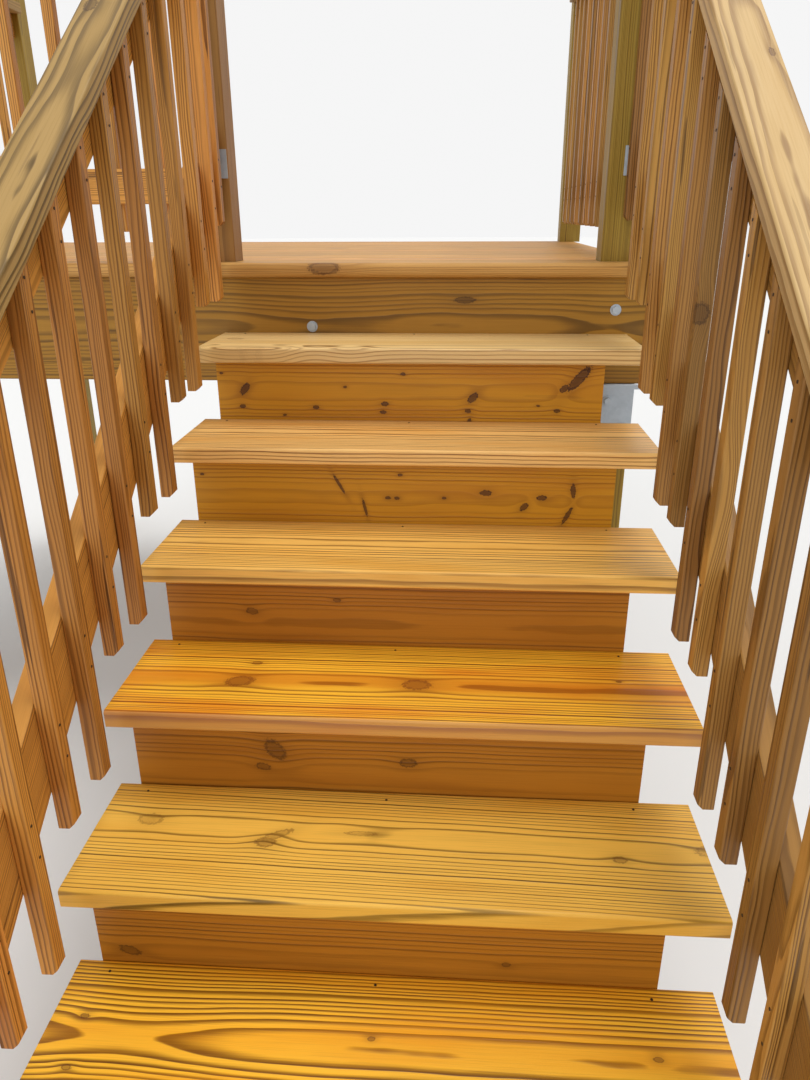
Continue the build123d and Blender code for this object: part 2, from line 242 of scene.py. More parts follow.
# The branch is dark, its bark darker still, and the wood close by is a little stained.
ragged = noise(knot_tree, given["Vector"], (230.0, 230.0, 230.0), 2.0)[0]
edge = calc(knot_tree, "SUBTRACT", in_sizes, 0.15)
edge = calc(knot_tree, "MULTIPLY_ADD", ragged, 0.9, edge)
inside = calc(knot_tree, "MULTIPLY", fade(knot_tree, edge, 0.85, 1.35, 0.75, 0.0), given["Dark"])
heart = calc(knot_tree, "MULTIPLY", band(knot_tree, edge, 0.40, 0.55, 0.55, 0.72), 0.6)
bark = calc(knot_tree, "MAXIMUM", band(knot_tree, edge, 0.85, 1.1, 1.15, 1.45), heart)
core = calc(knot_tree, "MULTIPLY", calc(knot_tree, "MAXIMUM", inside, bark), given["Dark"])
near = calc(knot_tree, "EXPONENT", calc(knot_tree, "MULTIPLY", squared, -0.3))
shade = calc(knot_tree, "MULTIPLY", near, given["Dark"])
core = calc(knot_tree, "MAXIMUM", core, given["Core"])
shade = calc(knot_tree, "MAXIMUM", shade, given["Shade"])
hand_back(knot_tree, result, {"Push": push, "Core": core, "Shade": shade})

# %% [markdown]
# ## Growth rings
# A tree is a stack of nearly round shells. A board is a straight cut through them, so its face
# shows nested arches where the cut runs along the shells, and straight lines where it crosses
# them. An image would only give one face. Here the rings are a field in space: the distance
# from a pith line that lies under the board, a little slanted and wavy, divided by the width
# of a ring. Faces, edges and sawn ends then agree with each other.

# %% Group: growth rings
ring_tree, given, result = new_group(
    "growth_rings",
    [
        ("Vector", "Vector", None),
        ("Random", "Vector", None),
        ("Chance", "Float", 1.0),
        ("Width", "Float", 0.006),
        ("Pith Depth", "Float", 0.09),
        ("Pith Side", "Float", 0.0),
        ("Skew", "Float", 0.0),
        ("Tilt", "Float", 0.0),
        ("Slant", "Float", 0.02),
        ("Wander", "Float", 0.02),
        ("Ripple", "Float", 0.0075),
        ("Phase", "Float", 0.0),
        ("Line Start", "Float", 0.35),
        ("Even", "Float", 0.4),
        ("Push", "Float", 0.0),
    ],
    [
        ("Late", "Float"),
        ("Fibre", "Float"),
        ("Tone", "Float"),
        ("Crack", "Float"),
        ("Heart", "Float"),
    ],
)
chance = vector_calc(ring_tree, "SUBTRACT", given["Random"], half)
chance = parts(ring_tree, vector_calc(ring_tree, "MULTIPLY", chance, given["Chance"]))
shift = vector_calc(ring_tree, "MULTIPLY", given["Random"], (31.0, 17.0, 23.0))
shifted = vector_calc(ring_tree, "ADD", given["Vector"], shift)
along, sideways, upwards = parts(ring_tree, given["Vector"])

# The pith line wanders slowly along the board.
wave = noise(ring_tree, shifted, (1.7, 1.2, 1.2), 1.5)["Color"]
wave = parts(ring_tree, vector_calc(ring_tree, "SUBTRACT", wave, half))
side = calc(ring_tree, "MULTIPLY_ADD", chance[0], 0.11, given["Pith Side"])
skew = calc(ring_tree, "MULTIPLY_ADD", chance[2], given["Slant"], given["Skew"])
across = calc(ring_tree, "SUBTRACT", sideways, side)
across = calc(ring_tree, "SUBTRACT", across, calc(ring_tree, "MULTIPLY", skew, along))
across = calc(ring_tree, "MULTIPLY_ADD", wave[0], given["Wander"], across)
depth = calc(ring_tree, "MULTIPLY_ADD", chance[1], 0.7, 1.0)
depth = calc(ring_tree, "MULTIPLY_ADD", depth, given["Pith Depth"], upwards)
tilt = calc(ring_tree, "MULTIPLY_ADD", chance[0], given["Slant"], given["Tilt"])
depth = calc(ring_tree, "MULTIPLY_ADD", tilt, along, depth)
depth = calc(ring_tree, "MULTIPLY_ADD", wave[1], given["Wander"], depth)
radius = calc(ring_tree, "MULTIPLY", across, across)
radius = calc(ring_tree, "SQRT", calc(ring_tree, "MULTIPLY_ADD", depth, depth, radius))

# Small ripples, the push of the knots, and rings of uneven width.
ripple = centred(ring_tree, noise(ring_tree, shifted, (5.0, 26.0, 26.0), 2.0)[0])
radius = calc(ring_tree, "MULTIPLY_ADD", ripple, given["Ripple"], radius)
radius = calc(ring_tree, "ADD", radius, given["Push"])
start = calc(ring_tree, "MULTIPLY", chance[1], 90.0)
inputs = {"W": calc(ring_tree, "MULTIPLY_ADD", radius, 31.0, start), "Scale": 1.0, "Detail": 1.0}
uneven = put(ring_tree, "TexNoise", inputs, noise_dimensions="1D").outputs[0]
radius = calc(ring_tree, "MULTIPLY_ADD", centred(ring_tree, uneven), 0.022, radius)
turns = calc(ring_tree, "ADD", calc(ring_tree, "DIVIDE", radius, given["Width"]), given["Phase"])
within = calc(ring_tree, "FRACT", turns)
which = calc(ring_tree, "FLOOR", turns)

# Pale early wood darkens slowly to late wood, then the next ring starts sharply.
line = band(ring_tree, within, given["Line Start"], 0.86, 0.90, 1.0)
inputs = {"W": calc(ring_tree, "MULTIPLY_ADD", chance[2], 53.0, which)}
strength = put(ring_tree, "TexWhiteNoise", inputs, noise_dimensions="1D").outputs["Value"]
strength = calc(ring_tree, "POWER", strength, 1.8)
spread = calc(ring_tree, "SUBTRACT", 1.0, given["Even"])
strength = calc(ring_tree, "MULTIPLY_ADD", strength, spread, given["Even"])
late = calc(ring_tree, "MULTIPLY", line, strength)

# Fibres, slow changes of tone, and the short splits of drying wood, all drawn out lengthways.
fibre = noise(ring_tree, shifted, (7.0, 420.0, 420.0), 2.0, Roughness=0.6)[0]
tone = noise(ring_tree, shifted, (2.2, 14.0, 14.0), 2.5)[0]
crack = fade(ring_tree, noise(ring_tree, shifted, (2.4, 74.0, 74.0), 1.0)[0], 0.70, 0.725)

# The stripe over the pith is where oil soaks in deepest.
stripe = calc(ring_tree, "MULTIPLY_ADD", centred(ring_tree, tone), 0.08, across)
heart = fade(ring_tree, calc(ring_tree, "ABSOLUTE", stripe), 0.012, 0.05, 1.0, 0.0)
outputs = {"Late": late, "Fibre": fibre, "Tone": tone, "Crack": crack, "Heart": heart}
hand_back(ring_tree, result, outputs)

# %% [markdown]
# ## The colour of oiled softwood
# Early wood takes the most stain and turns golden or tan, late wood stays as dark lines, and
# knots go nearly black-brown. One group mixes the masks into a colour, a roughness and a
# height, so each finish on the object only needs its own few colours. Late wood stands up a
# little on weathered boards, so the same mask also drives the bump.

# %% Group: timber colour
colour_tree, given, result = new_group(
    "timber_colour",
    [
        ("Late", "Float", 0.0),
        ("Fibre", "Float", 0.5),
        ("Tone", "Float", 0.5),
        ("Crack", "Float", 0.0),
        ("Heart", "Float", 0.0),
        ("Core", "Float", 0.0),
        ("Shade", "Float", 0.0),
        ("Random", "Vector", None),
        ("Early Colour", "Color", (0.5, 0.3, 0.1, 1.0)),
        ("Late Colour", "Color", (0.2, 0.1, 0.03, 1.0)),
        ("Stain Colour", "Color", (0.3, 0.2, 0.1, 1.0)),
        ("Knot Colour", "Color", (0.1, 0.04, 0.01, 1.0)),
        ("Contrast", "Float", 0.9),
        ("Heart Stain", "Float", 0.0),
        ("Variety", "Float", 0.2),
        ("Cracks", "Float", 0.4),
        ("Roughness", "Float", 0.5),
    ],
    [("Colour", "Color"), ("Roughness", "Float"), ("Height", "Float")],
)
chance = parts(colour_tree, given["Random"])
fibre = centred(colour_tree, given["Fibre"])
tone = centred(colour_tree, given["Tone"])

# Rings, then the stain between them, then the rings once more so that they stay on top.
streaks = calc(colour_tree, "MULTIPLY_ADD", fibre, 0.5, given["Late"])
rings = calc(colour_tree, "MULTIPLY", streaks, given["Contrast"], clamp=True)
wood = blend_colour(colour_tree, rings, given["Early Colour"], given["Late Colour"])
stain = fade(colour_tree, given["Tone"], 0.42, 0.78, 0.0, 0.75)
stain = calc(colour_tree, "MULTIPLY_ADD", given["Heart"], given["Heart Stain"], stain, clamp=True)
wood = blend_colour(colour_tree, stain, wood, given["Stain Colour"])
rings_again = calc(colour_tree, "MULTIPLY", rings, 0.55)
wood = blend_colour(colour_tree, rings_again, wood, given["Late Colour"])

# Each board has its own lightness and hue.
lightness = centred(colour_tree, chance[2])
lightness = calc(colour_tree, "MULTIPLY_ADD", lightness, given["Variety"], 1.0)
lightness = calc(colour_tree, "MULTIPLY_ADD", tone, 0.35, lightness)
hue_range = calc(colour_tree, "MULTIPLY", given["Variety"], 0.022)
hue = calc(colour_tree, "MULTIPLY_ADD", centred(colour_tree, chance[1]), hue_range, 0.5)
inputs = {"Hue": hue, "Value": lightness, "Color": wood}
wood = put(colour_tree, "HueSaturation", inputs).outputs[0]

# Knots and cracks lie over all of it.
halo = calc(colour_tree, "MULTIPLY", given["Shade"], 0.4)
wood = blend_colour(colour_tree, halo, wood, given["Late Colour"])
core = calc(colour_tree, "MULTIPLY", given["Core"], 0.88)
wood = blend_colour(colour_tree, core, wood, given["Knot Colour"])
crack = calc(colour_tree, "MULTIPLY", given["Crack"], given["Cracks"])
wood = blend_colour(colour_tree, crack, wood, given["Knot Colour"])

rough = calc(colour_tree, "MULTIPLY_ADD", rings, -0.10, given["Roughness"])
rough = calc(colour_tree, "MULTIPLY_ADD", fibre, 0.3, rough, clamp=True)
raised = calc(colour_tree, "MULTIPLY", given["Late"], 0.8)
raised = calc(colour_tree, "MULTIPLY_ADD", given["Fibre"], 0.35, raised)
raised = calc(colour_tree, "SUBTRACT", raised, crack)
hand_back(colour_tree, result, {"Colour": wood, "Roughness": rough, "Height": raised})

# %% [markdown]
# ## A board's material
# The function below places the groups in one material. It needs to know where the board's
# middle is, which way its grain runs, and its colours. A Mapping node turns the coordinates so
# that the grain always runs along X inside the groups: an upright post, a level tread and a
# sloping rail then all use the same recipe.

# %% Find a node's middle and its loose pieces, and dress it
def middle_of(node):
    """The middle of a node's box."""
    low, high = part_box(node)
    return [(a + b) / 2 for a, b in zip(low, high)]


def pieces_of(node):
    """Boxes of the loose pieces in a node, measured on a merged copy of its mesh."""
    shape = bmesh.new()
    shape.from_mesh(bpy.data.objects[node].data)
    bmesh.ops.remove_doubles(shape, verts=shape.verts, dist=0.00001)
    unseen = set(shape.verts)
    boxes = []
    while unseen:
        to_visit = [unseen.pop()]
        corners = []
        while to_visit:
            vert = to_visit.pop()
            corners.append(vert.co.copy())
            for edge in vert.link_edges:
                other = edge.other_vert(vert)
                if other in unseen:
                    unseen.remove(other)
                    to_visit.append(other)
        low = [min(corner[axis] for corner in corners) for axis in range(3)]
        high = [max(corner[axis] for corner in corners) for axis in range(3)]
        boxes.append((low, high))
    shape.free()
    return sorted(boxes)


def dress(node, material):
    """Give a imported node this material."""
    mesh = bpy.data.objects[node].data
    if mesh.materials:
        for index in range(len(mesh.materials)):
            mesh.materials[index] = material
    else:
        mesh.materials.append(material)


# %% Dress a node in timber
rise_mm = 187
going_mm = 256
slope = math.atan2(rise_mm, going_mm)
grain_turns = {
    "across": (0.0, 0.0, 0.0),
    "inwards": (0.0, 0.0, -math.pi / 2),
    "upright": (0.0, math.pi / 2, 0.0),
    "sloping": (-slope, 0.0, -math.pi / 2),
    "across_on_edge": (-math.pi / 2, 0.0, 0.0),
}
colour_labels = ("Early Colour", "Late Colour", "Stain Colour", "Knot Colour")
edge_blur = 0.002


def use_group(tree, group, inputs):
    """Place a node group in a tree with its own values or links."""
    node = tree.nodes.new("ShaderNodeGroup")
    node.node_tree = group
    return fill(tree, node, inputs)


def timber(
    node, grain, colours, rings, finish, middle=None, spacing=one_board, knots=(), edge=None
):
    """Dress a node in its own timber, with the fibres along the named grain.

    Rings and finish are inputs of the two groups, and spacing is that of a row of boards.
    Knots are (along, across, size, bend, dark), then a squash and a turn where they are long,
    and last a depth where a knot is round and does not go through the board.
    Edge is (across, colour, share) of a front edge painted darker, a painted shade there.
    """
    material = bpy.data.materials.new(node)
    material.use_nodes = True
    tree = material.node_tree
    shader = tree.nodes["Principled BSDF"]
    place = tree.nodes.new("ShaderNodeTexCoord").outputs["Object"]
    inputs = {"Vector": place, "Middle": middle or middle_of(node), "Spacing": spacing}
    board = use_group(tree, board_tree, inputs).outputs
    turn = grain_turns[grain]
    local = put(tree, "Mapping", {"Vector": board["Local"], "Rotation": turn}).outputs[0]
    whole = put(tree, "Mapping", {"Vector": board["Whole"], "Rotation": turn}).outputs[0]
    chain = {"Push": 0.0, "Core": 0.0, "Shade": 0.0}
    for along, across, size, bend, dark, *lie in knots:
        is_round = len(lie) > 2
        inputs = {"Vector": whole, "Centre": (along, across, lie[2] if is_round else 0.0)}
        inputs.update({"Size": size, "Bend": bend, "Dark": dark, "Round": float(is_round)})
        inputs.update(zip(("Squash", "Turn"), lie))
        knot = use_group(tree, knot_tree, {**inputs, **chain}).outputs
        chain = {label: knot[label] for label in chain}
    inputs = {"Vector": local, "Random": board["Random"], "Push": chain["Push"]}
    ring = use_group(tree, ring_tree, {**inputs, **rings}).outputs
    inputs = {label: ring[label] for label in ("Late", "Fibre", "Tone", "Crack", "Heart")}
    inputs.update({"Core": chain["Core"], "Shade": chain["Shade"], "Random": board["Random"]})
    inputs.update({label: screen_colour(*rgb) for label, rgb in zip(colour_labels, colours)})
    mixed = use_group(tree, colour_tree, {**inputs, **finish}).outputs
    colour = mixed["Colour"]
    # A darker front edge: painted shade on the face that the high light misses.
    if edge:
        start, edge_shade_colour, share = edge
        across = parts(tree, local)[1]
        on_shaded_edge = fade(tree, across, start - edge_blur, start, share, 0.0)
        colour = blend_colour(tree, on_shaded_edge, colour, screen_colour(*edge_shade_colour))
    bump = put(tree, "Bump", {"Height": mixed["Height"], "Strength": 0.7, "Distance": 0.0009})
    inputs = {"Base Color": colour, "Roughness": mixed["Roughness"], "Normal": bump.outputs[0]}
    fill(tree, shader, {**inputs, "Specular IOR Level": 0.32})
    dress(node, material)


# %% [markdown]
# ## Treads
# The treads are broad planks with a golden oil on them. Some are cut close to the heart and
# show tall arches, others are nearly straight-grained, and two have large open knots. So each
# tread gets its own material: the same recipe, with its own ring width, pith and knots. Where
# the pith lies under the front edge, the arches turn over onto the edge as well.

# %% The treads' colours, rings and knots
tread_colours = {
    1: ((246, 210, 142), (140, 92, 36), (222, 180, 104), (104, 58, 22)),
    2: ((244, 194, 116), (112, 58, 12), (218, 156, 72), (98, 50, 16)),
    3: ((246, 192, 96), (104, 56, 8), (212, 154, 60), (90, 46, 12)),
    4: ((255, 190, 50), (118, 58, 4), (206, 108, 8), (112, 48, 8)),
    5: ((238, 184, 74), (106, 76, 18), (206, 146, 42), (96, 52, 12)),
    6: ((255, 192, 50), (104, 58, 6), (224, 146, 20), (90, 44, 8)),
    7: ((240, 178, 56), (118, 70, 14), (200, 136, 30), (90, 44, 8)),
}
straight = {"Chance": 0.0, "Wander": 0.006, "Ripple": 0.004}
# Width, depth and side of the pith, evenness of the lines and where in a ring they start.
tread_rings = {
    1: (0.0062, 0.045, -0.11, 0.3, 0.5),
    2: (0.0064, 0.09, 0.02, 0.4, 0.5),
    3: (0.0068, 0.06, 0.01, 0.35, 0.5),
    4: (0.0068, 0.033, -0.02, 0.35, 0.35),
    5: (0.0068, 0.035, 0.018, 0.5, 0.6),
    6: (0.0074, 0.031, -0.002, 0.75, 0.3),
    7: (0.0070, 0.05, 0.01, 0.5, 0.35),
}
ring_labels = ("Width", "Pith Depth", "Pith Side", "Even", "Line Start")
ring_shifts = {4: {"Phase": 0.83}, 5: {"Phase": 0.85, "Skew": -0.025}, 6: {"Phase": 0.67}}
tread_knots = {
    1: [
        (-0.50, 0.02, 0.014, 0.8, 0.5),
        (-0.51, -0.13, 0.018, 0.7, 0.0),
        (-0.42, -0.13, 0.022, 0.7, 0.15),
        (-0.345, -0.13, 0.014, 0.7, 0.0),
        (-0.17, -0.13, 0.016, 0.5, 0.0),
    ],
    4: [
        (-0.326, -0.022, 0.018, 0.30, 0.8, 0.62, -0.3),
        (0.030, -0.017, 0.018, 0.30, 0.8),
        (-0.308, 0.050, 0.007, 0.4, 0.8),
        (0.433, 0.017, 0.0035, 0.4, 0.9),
    ],
    5: [
        (-0.462, 0.040, 0.015, 0.25, 0.5),
        (-0.233, -0.008, 0.012, 0.35, 0.7),
        (-0.215, 0.012, 0.009, 0.4, 0.6, 0.3, -0.5),
        (-0.035, 0.021, 0.008, 0.75, 0.0, 0.29),
        (-0.060, 0.024, 0.006, 0.0, 0.5, 0.2),
        (0.401, -0.015, 0.008, 0.3, 0.7),
        (0.561, 0.014, 0.014, 0.3, 0.5),
    ],
    6: [
        (-0.425, -0.002, 0.0417, 0.30, 0.0),
        (-0.503, 0.031, 0.005, 0.6, 0.9),
        (-0.495, -0.057, 0.005, 0.6, 0.8),
        (-0.020, 0.019, 0.004, 0.4, 0.8),
        (0.438, 0.011, 0.005, 0.6, 0.8),
    ],
}
tread_finish = {
    1: {"Contrast": 1.2},
    2: {"Contrast": 1.3},
    3: {"Contrast": 1.3},
    4: {"Heart Stain": 0.6},
    6: {"Heart Stain": 0.25},
}
front_edge = -0.139
# The front edges of treads 1 and 4 get a darker colour as painted shade; tread 4's pinker hue is
# the wood's own.
tread_edge_shade = {1: (front_edge, (196, 156, 100), 0.4), 4: (front_edge, (188, 134, 88), 0.65)}
oiled = {"Contrast": 1.0, "Roughness": 0.42, "Variety": 0.0, "Cracks": 0.15}

# %% Finish the treads
for number, colours in tread_colours.items():
    rings = {**straight, **dict(zip(ring_labels, tread_rings[number]))}
    rings.update(ring_shifts.get(number, {}))
    finish = {**oiled, **tread_finish.get(number, {})}
    knots = tread_knots.get(number, ())
    edge = tread_edge_shade.get(number)
    timber(f"tread_{number}", "across", colours, rings, finish, knots=knots, edge=edge)
print("treads", len(tread_colours))

# %% [markdown]
# ## Risers
# The boards behind the treads are thinner and cut from smaller logs, so they carry many small
# dark knots and a warm orange stain. They stand on edge, so their grain is turned to lie flat
# in the groups before the rings are worked out. The two upper ones have the darkest knots. The
# lower ones are painted darker as painted shade, for the deep shadow under the treads.

# %% The risers' colours and knots
# The lower risers' colours are a darker copy of the upper ones: painted shade.
upper_riser = ((198, 140, 26), (124, 72, 8), (172, 112, 16), (50, 16, 6))
lower_riser_shaded = ((178, 116, 30), (108, 64, 10), (150, 92, 18), (56, 28, 8))
riser_bend = 0.35
# Along, across and size of each knot, then its squash and turn.
riser_knots = {
    1: [
        (-0.421, 0.023, 0.009, 0.5, -0.9),
        (-0.430, -0.022, 0.005),
        (-0.238, -0.023, 0.005),
        (-0.059, -0.013, 0.006),
        (-0.064, -0.034, 0.005),
        (0.166, 0.005, 0.009, 0.55, -0.8),
        (0.154, -0.029, 0.005),
        (0.157, -0.060, 0.005, 0.4, -1.3),
        (0.430, 0.055, 0.012, 0.30, -0.85),
        (0.395, 0.030, 0.008, 0.6, -0.7),
        (0.380, -0.027, 0.005),
        (-0.321, -0.044, 0.003),
        (-0.161, 0.030, 0.003),
        (-0.480, 0.063, 0.003),
        (-0.012, 0.064, 0.004),
        (0.332, -0.014, 0.003),
    ],
    2: [
        (-0.147, 0.040, 0.0035, 0.13, 1.06),
        (-0.087, -0.019, 0.0035, 0.16, 1.34),
        (-0.032, 0.007, 0.004),
        (-0.011, 0.007, 0.004),
        (-0.003, 0.064, 0.0035),
        (0.100, 0.009, 0.0035),
        (0.197, 0.023, 0.007, 0.5),
        (0.327, 0.013, 0.006, 0.5),
        (0.287, -0.010, 0.007, 0.6, -0.7),
        (0.398, 0.031, 0.006, 0.35, 1.5),
        (0.388, -0.030, 0.005, 0.22, -1.1),
        (-0.472, 0.059, 0.003),
    ],
    3: [(-0.308, 0.018, 0.008, 0.6, 0.2), (-0.122, 0.049, 0.005)],
    4: [
        (-0.214, 0.035, 0.016, 0.6, 0.9),
        (-0.240, -0.005, 0.008, 0.5, 0.2),
        (0.045, 0.015, 0.010, 0.6),
    ],
    5: [(-0.438, -0.030, 0.010, 0.5, 0.3), (0.230, -0.020, 0.005)],
    6: [(-0.400, -0.030, 0.007), (-0.050, 0.0, 0.005), (0.280, 0.020, 0.006)],
    7: [(-0.220, 0.0, 0.007), (0.200, 0.010, 0.007)],
}

# %% Finish the risers
for number, places in riser_knots.items():
    is_upper = number < 3
    rings = {**straight, "Width": 0.0062, "Pith Depth": 0.06, "Even": 0.25, "Line Start": 0.45}
    rings.update({"Pith Side": 0.03 - 0.012 * number, "Phase": 0.3 * number})
    finish = {"Contrast": 0.65 if is_upper else 0.8}
    finish.update({"Roughness": 0.45, "Variety": 0.0, "Cracks": 0.12})
    dark = 1.05 if is_upper else 0.75
    knots = [(along, across, size, riser_bend, dark, *lie) for along, across, size, *lie in places]
    colours = upper_riser if is_upper else lower_riser_shaded
    timber(f"riser_{number}", "across_on_edge", colours, rings, finish, knots=knots)
print("risers", len(riser_knots))

# %% [markdown]
# ## Frame boards, rails and posts
# The rest of the timber is the same softwood with other stains: olive brown on the rim, bleached
# tan on the caps, reddish brown on the balusters and greenish tan on the posts. The warmer amber
# brown and the pale cap are painted sunlight, and the dull brown and the grey cap painted shade:
# lit and shaded copies of one stain.

# %% Stains and cuts of the other timber
# Pale cap and grey cap, amber brown and dull brown are lit and shaded copies: painted sunlight and
# painted shade.
olive = ((168, 120, 38), (98, 66, 14), (142, 98, 28), (58, 34, 12))
sunlit_pale_cap = ((208, 174, 118), (150, 112, 58), (188, 152, 94), (92, 56, 26))
shaded_grey_cap = ((176, 142, 84), (98, 74, 32), (142, 112, 58), (70, 46, 22))
sunlit_amber_brown = ((208, 146, 66), (114, 70, 22), (170, 114, 44), (62, 34, 12))
shaded_dull_brown = ((178, 130, 64), (106, 70, 26), (144, 102, 46), (66, 40, 16))
green_tan = ((166, 136, 50), (104, 80, 20), (144, 114, 36), (70, 44, 16))
deck_tan = ((214, 160, 88), (142, 94, 40), (184, 132, 64), (86, 50, 22))
# Which copy each side gets: the amber brown as painted sunlight, the dull brown as painted shade.
brown_lit_and_shaded_by_side = {
    "left": sunlit_amber_brown,
    "front": sunlit_amber_brown,
    "middle": shaded_dull_brown,
    "right": shaded_dull_brown,
}
fine = {"Width": 0.0045, "Pith Depth": 0.07}
wide = {"Chance": 0.0, "Pith Depth": 0.03, "Wander": 0.012}
cap_rings = {**wide, "Width": 0.0075, "Pith Side": -0.01, "Tilt": 0.01, "Even": 0.6}
rim_rings = {**wide, "Width": 0.0095, "Pith Side": 0.01, "Tilt": 0.006}
stick = {"Width": 0.0055, "Pith Depth": 0.045, "Slant": 0.02, "Wander": 0.02, "Even": 0.45}
plain = {"Contrast": 0.8, "Roughness": 0.55, "Variety": 0.3, "Cracks": 0.5}
cap_finish = {"Contrast": 1.0, "Roughness": 0.6, "Variety": 0.0, "Cracks": 0.25}
varied = {"Contrast": 0.95, "Roughness": 0.5, "Variety": 0.55, "Cracks": 0.6}
cap_knots = {
    "left": [
        (0.30, 0.02, 0.012, 0.3, 0.8, 0.5),
        (-0.35, -0.01, 0.02, 0.3, 0.0),
        (0.05, 0.0, 0.03, 0.2, 0.0),
    ],
    "right": [
        (0.44, 0.010, 0.013, 0.4, 0.7),
        (0.30, -0.022, 0.012, 0.5, 0.4),
        (0.52, -0.03, 0.005, 0.5, 0.9),
        (0.10, -0.03, 0.005, 0.5, 0.9, 0.4),
    ],
}
rim_knots = [
    (0.742, 0.083, 0.009, 0.4, 0.9, 0.3),
    (0.35, 0.04, 0.05, 0.25, 0.0),
    (1.13, 0.0, 0.03, 0.35, 0.0),
]


def side_of(node):
    """The last word of a node's name: left, middle, right or front."""
    return node.rsplit("_", 1)[1]


# %% Finish the stringers, sloping rails, caps and newels
for side in ("left", "middle", "right"):
    timber(f"stringer_{side}", "sloping", brown_lit_and_shaded_by_side[side], fine, plain)
for side, colours in (("left", shaded_grey_cap), ("right", sunlit_pale_cap)):
    cap = f"stair_cap_{side}"
    timber(cap, "sloping", colours, cap_rings, cap_finish, knots=cap_knots[side])
    for rail in ("top", "bottom"):
        timber(f"stair_{rail}_rail_{side}", "sloping", brown_lit_and_shaded_by_side[side], fine, plain)
    timber(f"newel_post_{side}", "upright", green_tan, fine, plain)

# %% Finish the deck's posts, caps, rails and frame
half_post = 0.0445
half_rail = 0.0445
rail_step = 0.6777
grain_by_side = {"front": "across", "left": "inwards", "right": "inwards"}
timber("deck_post_left", "upright", shaded_dull_brown, fine, plain)
for node in ("deck_post_right", "deck_post_corner", "wall_post_left", "wall_post_right"):
    timber(node, "upright", green_tan, fine, plain)
for side, grain in grain_by_side.items():
    timber(f"deck_cap_{side}", grain, shaded_grey_cap, fine, plain)
    node = f"deck_rails_{side}"
    middle = middle_of(node)
    middle[2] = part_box(node)[0][2] + half_rail
    spacing = (100.0, 100.0, rail_step)
    timber(node, grain, brown_lit_and_shaded_by_side[side], fine, plain, middle=middle, spacing=spacing)
timber("front_rim", "across_on_edge", olive, rim_rings, plain, knots=rim_knots)
timber("ledger", "across_on_edge", olive, fine, plain)
for node in ("side_rim_left", "side_rim_right", "joists"):
    timber(node, "inwards", olive, fine, plain)

# %% Finish the rows of balusters
baluster_size = 0.030
# The axis that each row runs along.
baluster_rows = {
    "stair_balusters_left": 1,
    "stair_balusters_right": 1,
    "deck_balusters_front": 0,
    "deck_balusters_left": 1,
    "deck_balusters_right": 1,
}
# Knots that one baluster of a row has, starting with the height and the distance inwards.
row_knots = {
    "stair_balusters_right": [
        (1.451, 0.850, 0.016, 0.8, 0.8, 0.8, 0.0, 0.006),
        (1.201, 0.594, 0.022, 0.9, 0.0, 0.4, 0.0, -0.01),
    ],
}
for node, axis in baluster_rows.items():
    starts = sorted(low[axis] for low, high in pieces_of(node))
    spacing = list(one_board)
    spacing[axis] = starts[1] - starts[0]
    middle = middle_of(node)
    middle[axis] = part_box(node)[0][axis] + baluster_size / 2
    knots = [(z - middle[2], y - middle[1], *rest) for z, y, *rest in row_knots.get(node, ())]
    brown = brown_lit_and_shaded_by_side[side_of(node)]
    timber(node, "upright", brown, stick, varied, middle=middle, spacing=spacing, knots=knots)
    print(node, len(starts), "pitch", round(spacing[axis], 4))

# %% Finish the deck boards and the support posts
half_deck_board = 0.07
deck_board_pitch = 0.145
nose_knot_x = -0.240
low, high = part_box("deck_boards")
middle = middle_of("deck_boards")
middle[1] = low[1] + half_deck_board
spacing = (100.0, deck_board_pitch, 100.0)
knots = [(nose_knot_x - middle[0], -half_deck_board, 0.019, 0.3, 0.8, 0.45, 0.0, 0.008)]
timber("deck_boards", "across", deck_tan, fine, plain, middle, spacing, knots)
print("deck boards", len(pieces_of("deck_boards")))

low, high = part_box("support_posts")
middle = [low[0] + half_post, low[1] + half_post, (low[2] + high[2]) / 2]
spacing = [high[0] - low[0] - 2 * half_post, high[1] - low[1] - 2 * half_post, 100.0]
timber("support_posts", "upright", green_tan, fine, plain, middle, spacing)

# %% [markdown]
# ## Galvanised steel
# Hot-dip zinc freezes into flat crystals, each with its own grey. A Voronoi texture gives such
# cells, and a slow noise adds the dull bloom that zinc gets outdoors.

# %% Finish the steel
def new_material(name):
    """A new material with its node tree and its shader."""
    material = bpy.data.materials.new(name)
    material.use_nodes = True
    return material, material.node_tree, material.node_tree.nodes["Principled BSDF"]


steel, tree, shader = new_material("galvanised_steel")
place = tree.nodes.new("ShaderNodeTexCoord").outputs["Object"]
cells = put(tree, "TexVoronoi", {"Vector": place, "Scale": 110.0}).outputs["Color"]
crystal = calc(tree, "MULTIPLY", parts(tree, cells)[0], 0.2)
bloom = noise(tree, place, (22.0, 22.0, 22.0), 2.0)[0]
bloom = calc(tree, "MULTIPLY_ADD", bloom, 0.8, crystal)
zinc = blend_colour(tree, bloom, screen_colour(158, 168, 178), screen_colour(194, 204, 212))
rough = calc(tree, "MULTIPLY_ADD", bloom, 0.2, 0.42)
fill(tree, shader, {"Base Color": zinc, "Roughness": rough, "Metallic": 0.45})
steel_nodes = ("post_caps", "rail_brackets", "lag_bolts")
for node in steel_nodes:
    dress(node, steel)
print("galvanised nodes", len(steel_nodes))

# %% [markdown]
# ## Nails and screws
# Every baluster is nailed twice to the top rail and twice to the bottom rail, and the nail heads
# show as small dark dots. They are driven by hand, so each misses the middle a little. A texture
# could paint them, but then they would have no edge and would not sit exactly on the boards. A
# short cone of ten sides is enough for one head, and all the heads of one kind share a mesh, so
# the object stays light.

# %% A helper that drives heads into a surface
head_depth = 0.003
head_sunk = 0.0007
nail_radius = 0.0032
screw_radius = 0.0045


